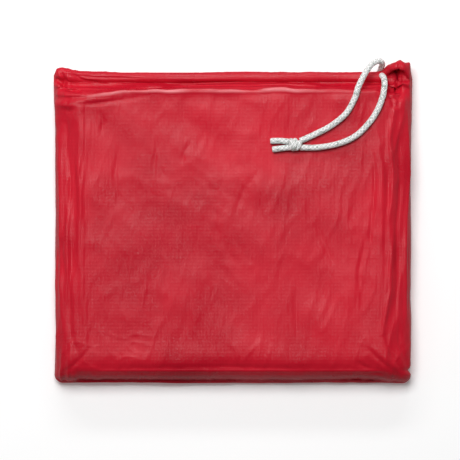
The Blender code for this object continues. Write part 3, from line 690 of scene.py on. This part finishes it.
def pleats(sizes, depth):
    """The sheet's way through its plies, as y and offset: straight runs joined by half turns."""
    step = depth / sizes.plies
    offsets, ys = [], []
    for ply in range(sizes.plies):
        middle = (ply - (sizes.plies - 1) / 2) * step
        way = 1 if ply % 2 == 0 else -1
        run = np.linspace(CLOTH[0][1] + END_MARGIN, CLOTH[1][1] - END_MARGIN, 24)[::way]
        ys.append(run)
        offsets.append(run * 0 + middle)
        if ply < sizes.plies - 1:
            turn = np.linspace(0, np.pi, 7)[1:-1]
            ys.append(run[-1] + way * 0.0008 * np.sin(turn))
            offsets.append(middle + step / 2 * (1 - np.cos(turn)))
    return np.concatenate(ys), np.concatenate(offsets)


def folded_cloth(sizes):
    """The whole blanket as one sheet: pleated into plies along Y, then folded to and fro along X.

    The pleats give (y, offset). The last fold goes straight through each layer and by a half circle
    into the next, and carries the offset along its normal. Both ends are squeezed a little.
    """
    pitch = (CLOTH[1][2] - CLOTH[0][2] + LAYER_GAP) / sizes.layers
    base, half = CLOTH[0][2] - LAYER_GAP / 2, pitch / 2
    packed = np.array([corner.co for corner in frame["nodes"]["blanket_cloth"].data.vertices])
    y, offset = pleats(sizes, pitch - LAYER_GAP)
    turn = np.linspace(-np.pi / 2, np.pi / 2, 14)[1:-1, None]
    blocks, start = [], -side_reach(packed, base + half, half, -1)
    for layer in range(sizes.layers):
        side = 1 if layer % 2 == 0 else -1
        level, height = base + pitch * (layer + 0.5), base + pitch * (layer + 1)
        slid = y + 0.0007 * (noise(y * 0 + layer * 1.7, y * 0, 101) - 1) * np.sign(y)
        last = layer == sizes.layers - 1
        reach = side_reach(packed, level if last else height, half, side)
        if not last:
            reach += 0.0002 - pitch
        flat = np.linspace(start, side * reach, 20)[:, None]
        blocks.append(surface(flat, slid, level + side * offset))
        start = side * reach
        if not last:
            radius = half - side * offset
            x = side * (reach + radius * np.cos(turn))
            blocks.append(surface(x, slid, height + radius * np.sin(turn)))
    points = np.concatenate(blocks)
    x, y, z = np.moveaxis(points, -1, 0)
    middle_z = (CLOTH[0][2] + CLOTH[1][2]) / 2
    near_end = np.minimum(y - CLOTH[0][1], CLOTH[1][1] - y)
    squeeze = 1 - 0.14 * np.clip(1 - near_end / 0.006, 0, 1)
    waves = 0.00010 * noise(x / 0.03, y / 0.03, 103)
    points[..., 2] = middle_z + (z - middle_z) * squeeze + waves
    return grid_piece("blanket_folds", points, "blanket", points[..., :2])


# The materials


def fill(made, inputs):
    """Fills a node's inputs: a value is set, and another node's socket is linked."""
    for key, value in inputs.items():
        if isinstance(value, bpy.types.NodeSocket):
            made.id_data.links.new(value, made.inputs[key])
        else:
            made.inputs[key].default_value = value


def node(tree, kind, inputs, **settings):
    """A new node with its settings, and with its inputs filled."""
    made = tree.nodes.new(kind)
    for key, value in settings.items():
        setattr(made, key, value)
    fill(made, inputs)
    return made


def material(name):
    """A new material, its node tree and its shader."""
    made = bpy.data.materials.new(name)
    made.use_nodes = True
    return made, made.node_tree, made.node_tree.nodes["Principled BSDF"]


def new_group(name, numbers, outputs):
    """An effect for several materials: its tree, what goes in and its output node."""
    tree = bpy.data.node_groups.new(name, "ShaderNodeTree")
    tree.interface.new_socket("Vector", in_out="INPUT", socket_type="NodeSocketVector")
    for label, default in numbers.items():
        number = tree.interface.new_socket(label, in_out="INPUT", socket_type="NodeSocketFloat")
        number.default_value = default
    for label in outputs:
        tree.interface.new_socket(label, in_out="OUTPUT", socket_type="NodeSocketFloat")
    source, sink = node(tree, "NodeGroupInput", {}), node(tree, "NodeGroupOutput", {})
    return tree, source.outputs, sink


def noise_node(tree, vector, scale, detail, **settings):
    """A noise texture's value."""
    inputs = {"Scale": scale, "Detail": detail, "Vector": vector}
    return node(tree, "ShaderNodeTexNoise", inputs, **settings).outputs["Fac"]


def stripes(tree, vector, axis, scale, distortion):
    """Soft bands across an axis."""
    inputs = {"Scale": scale, "Distortion": distortion, "Vector": vector}
    return node(tree, "ShaderNodeTexWave", inputs, wave_type="BANDS", bands_direction=axis).outputs["Fac"]


def maths(tree, operation, *values):
    """A sum, a product or a comparison of values."""
    return node(tree, "ShaderNodeMath", dict(enumerate(values)), operation=operation).outputs[0]


def mixed(tree, factor, first, second):
    """The first colour where the factor is 0, and the second where it is 1."""
    return node(tree, "ShaderNodeMix", {"Factor": factor, 6: first, 7: second}, data_type="RGBA").outputs[2]


def two_colours(tree, factor, dark, light, low, high):
    """A colour between two, by a value over a range."""
    ramp = node(tree, "ShaderNodeMapRange", {"From Min": low, "From Max": high, "Value": factor})
    return mixed(tree, ramp.outputs["Result"], (*dark, 1), (*light, 1))


def relief(tree, height, strength, distance):
    """A normal that follows a height."""
    inputs = {"Strength": strength, "Distance": distance, "Height": height}
    return node(tree, "ShaderNodeBump", inputs).outputs["Normal"]


def creases_group():
    """Fine film creases and a faint imprint of the cloth below, as one height, and patches of dust."""
    tree, given, sink = new_group("film creases", {"Fine": 0.5, "Imprint": 0.1}, ("Height", "Dust"))
    stretch = node(tree, "ShaderNodeMapping", {
        "Scale": (1.0, 0.35, 1.0), "Rotation": (0, 0, np.radians(20)), "Vector": given["Vector"],
    }).outputs["Vector"]
    broad = noise_node(tree, stretch, 48, 6, noise_type="RIDGED_MULTIFRACTAL")
    fine = noise_node(tree, stretch, 260, 3)
    warp, weft = (stripes(tree, given["Vector"], axis, 260, 0.6) for axis in ("X", "Y"))
    pressed = maths(tree, "MULTIPLY", maths(tree, "MULTIPLY", warp, weft), given["Imprint"])
    both = maths(tree, "MULTIPLY_ADD", fine, given["Fine"], pressed)
    height = maths(tree, "ADD", broad, both)
    fill(sink, {"Height": height, "Dust": noise_node(tree, given["Vector"], 14, 5)})
    return tree


def weave_group():
    """Two families of threads crossing at right angles, as a height and a shade."""
    tree, given, sink = new_group("woven threads", {"Threads": 400.0}, ("Height", "Shade"))
    size = {0: given["Vector"], "Scale": given["Threads"]}
    scaled = node(tree, "ShaderNodeVectorMath", size, operation="SCALE").outputs["Vector"]
    squares = {"Scale": 1.0, "Color1": (1, 1, 1, 1), "Color2": (0, 0, 0, 1), "Vector": scaled}
    checks = node(tree, "ShaderNodeTexChecker", squares).outputs["Fac"]
    warp, weft = (stripes(tree, scaled, axis, 0.314, 0.3) for axis in ("X", "Y"))
    height = node(tree, "ShaderNodeMix", {"Factor": checks, 2: warp, 3: weft}, data_type="FLOAT")
    fill(sink, {"Height": height.outputs[0], "Shade": noise_node(tree, given["Vector"], 60, 4)})
    return tree


def film_material(sizes):
    """Vinyl film: glossy, mottled by dust, creased, and pale along the line of its shoulder as a painted
    highlight.
    """
    made, tree, shader = material("red film")
    place = node(tree, "ShaderNodeTexCoord", {}).outputs["Object"]
    marks = {"Fine": 0.15, "Imprint": 0.12, "Vector": place}
    marks = node(tree, "ShaderNodeGroup", marks, node_tree=creases_group()).outputs
    dark = [0.80 * c for c in sizes.vinyl]
    light = [min(1, c * 1.12 + 0.004) for c in sizes.vinyl]
    shade = two_colours(tree, marks["Dust"], dark, light, 0.3, 0.7)
    shoulder_highlight = node(tree, "ShaderNodeAttribute", {}, attribute_name="shoulder_highlight").outputs["Fac"]
    # Painted highlight: pale pink mixed in along the shoulder line by the mask from the film's points.
    colour = mixed(tree, shoulder_highlight, shade, (0.80, 0.24, 0.26, 1))
    rough = {"From Min": 0.3, "From Max": 0.7, "To Min": 0.23, "To Max": 0.34, "Value": marks["Dust"]}
    fill(shader, {
        "Base Color": colour,
        "Roughness": node(tree, "ShaderNodeMapRange", rough).outputs["Result"],
        "Specular IOR Level": 0.22,
        "Normal": relief(tree, marks["Height"], 0.80, 0.0013),
    })
    return made


def cord_material(sizes):
    """Braided yarn: lighter where a yarn stands up and darker in the grooves as painted shade, with marker
    flecks.
    """
    made, tree, shader = material("braided cord")
    yarn = node(tree, "ShaderNodeAttribute", {}, attribute_name="yarn").outputs["Fac"]
    along = node(tree, "ShaderNodeUVMap", {}, uv_map="along").outputs["UV"]
    stretch = node(tree, "ShaderNodeMapping", {"Scale": (560, 13, 1), "Vector": along}).outputs["Vector"]
    specks = node(tree, "ShaderNodeTexVoronoi", {"Scale": 1.0, "Vector": stretch}).outputs["Color"]
    # Painted shade: a darker colour for the grooves between the yarns, chosen by the yarn's swell.
    painted_groove_shade = [0.6 * c + 0.4 * f - 0.36 for c, f in zip(sizes.yarn, sizes.fleck)]
    braid = two_colours(tree, yarn, painted_groove_shade, sizes.yarn, 0.35, 0.75)
    chance = node(tree, "ShaderNodeSeparateColor", {"Color": specks}).outputs["Red"]
    fleck = maths(tree, "LESS_THAN", chance, 0.12)
    fibres = node(tree, "ShaderNodeTexNoise", {"Scale": 6, "Vector": stretch}).outputs["Fac"]
    fill(shader, {
        "Base Color": mixed(tree, fleck, braid, (*sizes.fleck, 1)),
        "Normal": relief(tree, fibres, 0.4, 0.0002),
        "Roughness": 0.7,
        "Sheen Weight": 0.25,
    })
    return made


def woven_material(name, weave, colour, threads, roughness, contrast=0.18, sheen=0.1):
    """Cloth, tape or thread: the weave's relief, and a colour that is uneven by the contrast."""
    made, tree, shader = material(name)
    place = node(tree, "ShaderNodeTexCoord", {}).outputs["Object"]
    woven = node(tree, "ShaderNodeGroup", {"Threads": threads, "Vector": place}, node_tree=weave).outputs
    dark = [c * (1 - contrast) for c in colour]
    light = [min(1, c * (1 + contrast / 2)) for c in colour]
    fill(shader, {
        "Base Color": two_colours(tree, woven["Shade"], dark, light, 0.35, 0.65),
        "Normal": relief(tree, woven["Height"], 0.6, 0.0003),
        "Roughness": roughness,
        "Sheen Weight": sheen,
    })
    return made


def floor_material():
    """Pale and matt, and darker where the film mirrors it, so that the rim keeps its colour."""
    made, tree, shader = material("pale floor")
    rays = node(tree, "ShaderNodeLightPath", {}).outputs["Is Glossy Ray"]
    fill(shader, {
        "Base Color": mixed(tree, rays, (0.96, 0.96, 0.96, 1), (0.16, 0.16, 0.16, 1)),
        "Roughness": 0.9,
        "Specular IOR Level": 0.1,
        "Emission Color": (1, 1, 1, 1),
        "Emission Strength": 0.14,
    })
    return made


def shown_in(piece, made):
    """Gives a piece its one material."""
    piece.data.materials.clear()
    piece.data.materials.append(made)


# The operators


class FIREBLANKET_OT_film(bpy.types.Operator):
    """Makes the front film with its lip and mouth corners, and the back film"""

    bl_idname = "fireblanket.film"
    bl_label = "Film pouch"

    def execute(self, context):
        sizes = context.scene.fire_film
        made = film_material(sizes)
        front = front_film(sizes)
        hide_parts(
            "front_panel", "front_casing", "right_mouth_corner", "left_mouth_corner",
            "left_side_weld", "right_side_weld", "bottom_weld",
        )
        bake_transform(front)
        back = back_film(sizes)
        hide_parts("back_panel", "back_casing")
        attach(back, "pouch")
        for piece in (front, back):
            add_wall(piece, sizes.thickness)
            shown_in(piece, made)
        return {"FINISHED"}


class FIREBLANKET_OT_drawstring(bpy.types.Operator):
    """Makes the drawstring's runs in the casings, its two free strands, the knot and the tails"""

    bl_idname = "fireblanket.drawstring"
    bl_label = "Drawstring"

    def execute(self, context):
        sizes = context.scene.fire_cord
        made = cord_material(sizes)
        radius = CORD / 2
        hidden = self.hidden_stretches(sizes, radius)
        knot = tube("knot", knot_path(), KNOT_CORD_RADIUS, "cord_loop", sizes)
        tails = self.tails(sizes, radius)
        stub = hidden[-1]
        over = self.strand("over", OVER_ROUTE, [knot, *tails, stub], sizes, radius)
        front = self.strand("front", FRONT_ROUTE, [knot], sizes, radius)
        for piece in (*hidden, knot, *tails, over, front):
            shown_in(piece, made)
        return {"FINISHED"}

    def hidden_stretches(self, sizes, radius):
        """The runs in both casings, the bend that joins them at the left, and the exit at the right."""
        left, right = FRONT_RUN[0][0], FRONT_RUN[1][0]
        pieces = []
        for word, z, body in (("front", FRONT_RUN_Z, "front_lip"), ("back", BACK_RUN_Z, "pouch")):
            path, _ = smooth_route(((left, CASING_Y, z), (right, CASING_Y, z)), RUN_STEP)
            pieces.append(tube(f"{word}_run", path, radius, body, sizes, HIDDEN_SIDES))
        bend = tube("left_bend", left_bend_path(left), radius, None, sizes, HIDDEN_SIDES)
        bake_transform(bend)
        path, _ = smooth_route(EXIT_ROUTE, ROUTE_STEP)
        stub = tube("back_exit", path, radius, None, sizes)
        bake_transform(stub)
        return [*pieces, bend, stub]

    def tails(self, sizes, radius):
        """The two ends of the cord past the knot, a little thinner towards their tips."""
        pieces = []
        for word, route in (("long", LONG_TAIL_ROUTE), ("short", SHORT_TAIL_ROUTE)):
            path, _ = smooth_route(route, ROUTE_STEP)
            thick = np.full(len(path), radius)
            thick[-3:] *= (0.97, 0.90, 0.78)
            pieces.append(tube(f"{word}_tail", path, thick, "cord_loop", sizes))
        return pieces

    def strand(self, word, route, goes_with, sizes, radius):
        """One free strand, from the mouth up to the knot."""
        path, length = smooth_route(route, ROUTE_STEP)
        strand = tube(f"{word}_strand", path, radius, None, sizes)
        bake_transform(strand)
        return strand


class FIREBLANKET_OT_blanket(bpy.types.Operator):
    """Makes the folded glass cloth ply by ply, and gives its hem, tapes and stitches their finishes"""

    bl_idname = "fireblanket.blanket"
    bl_label = "Folded blanket"

    def execute(self, context):
        sizes = context.scene.fire_cloth
        weave = weave_group()
        cloth = woven_material("glass cloth", weave, sizes.glass, 900, 0.8, contrast=0.07)
        tape = woven_material("webbing", weave, sizes.tape, 1400, 0.65, contrast=0.3, sheen=0.3)
        thread = woven_material("thread", weave, (0.80, 0.79, 0.74), 2600, 0.6)
        whole = folded_cloth(sizes)
        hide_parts("blanket_cloth")
        add_wall(whole, sizes.ply, 0.0)
        shown_in(whole, cloth)
        shown_in(frame["nodes"]["blanket_hem"], cloth)
        for name in ("left_pull_tape", "right_pull_tape"):
            shown_in(frame["nodes"][name], tape)
        for name in ("hem_stitching", "left_tape_stitching", "right_tape_stitching"):
            shown_in(frame["nodes"][name], thread)
        return {"FINISHED"}


class FIREBLANKET_OT_stage(bpy.types.Operator):
    """Makes the floor, the soft lights and the camera"""

    bl_idname = "fireblanket.stage"
    bl_label = "Studio"

    def execute(self, context):
        scene = context.scene
        self.floor(4.0)
        self.lights(scene)
        self.camera(scene, scene.fire_stage)
        scene.view_settings.view_transform = "Standard"
        return {"FINISHED"}

    def floor(self, reach):
        """A level square that reaches this far on each side."""
        ends = np.array([-reach, reach])
        floor = grid_piece("floor", surface(ends, ends[:, None], 0.0))
        floor.data.materials.append(floor_material())

    def lights(self, scene):
        """A dim white world, a large softbox and three strips, all aimed at the object."""
        scene.world = scene.world or bpy.data.worlds.new("studio")
        scene.world.use_nodes = True
        fill(scene.world.node_tree.nodes["Background"], {"Color": (1, 1, 1, 1), "Strength": 0.08})
        for name, place, size, power in (
            ("softbox above", (-0.24, 0.85, 2.05), (1.2, 1.0), 42.5),
            ("strip behind", (-0.20, 1.6, 0.95), (1.6, 0.22), 9),
            ("strip left", (-1.5, 0.1, 0.7), (1.2, 0.3), 1.5),
            ("strip right", (1.5, 0.3, 0.7), (1.2, 0.3), 1.5),
        ):
            light = bpy.data.lights.new(name, "AREA")
            light.shape = "RECTANGLE"
            light.size, light.size_y = size
            light.energy = power
            lamp = new_piece(name, light)
            lamp.location = place
            lamp.rotation_euler = (-Vector(place)).to_track_quat("-Z", "Y").to_euler()

    def camera(self, scene, sizes):
        """Straight above, with a lens that shows the set width at the height of the welds."""
        camera = new_piece("camera", bpy.data.cameras.new("camera"))
        camera.data.sensor_width = 36.0
        camera.data.lens = camera.data.sensor_width * (sizes.height - SEAM_Z) / sizes.field
        camera.data.clip_end = 20
        camera.location = (-0.0026, -0.0065, sizes.height)
        scene.camera = camera


class FIREBLANKET_PT_panel(bpy.types.Panel):
    bl_idname = "FIREBLANKET_PT_panel"
    bl_label = "Fire blanket"
    bl_space_type = "VIEW_3D"
    bl_region_type = "UI"
    bl_category = "Fire blanket"

    def draw(self, context):
        for operator in OPERATORS:
            self.layout.operator(operator.bl_idname)


OPERATORS = (FIREBLANKET_OT_drawstring, FIREBLANKET_OT_film, FIREBLANKET_OT_blanket, FIREBLANKET_OT_stage)
GROUPS = {
    "fire_film": FilmSizes, "fire_cord": CordSizes, "fire_cloth": BlanketSizes, "fire_stage": StageSizes,
}


def register():
    for name, group in GROUPS.items():
        bpy.utils.register_class(group)
        setattr(bpy.types.Scene, name, PointerProperty(type=group))
    for operator in OPERATORS:
        bpy.utils.register_class(operator)
    bpy.utils.register_class(FIREBLANKET_PT_panel)


def unregister():
    bpy.utils.unregister_class(FIREBLANKET_PT_panel)
    for operator in reversed(OPERATORS):
        bpy.utils.unregister_class(operator)
    for name, group in GROUPS.items():
        delattr(bpy.types.Scene, name)
        bpy.utils.unregister_class(group)


def main():
    register()
    bpy.ops.fireblanket.stage()
    bpy.ops.fireblanket.drawstring()
    bpy.ops.fireblanket.film()
    bpy.ops.fireblanket.blanket()


if __name__ == "__main__":
    main()
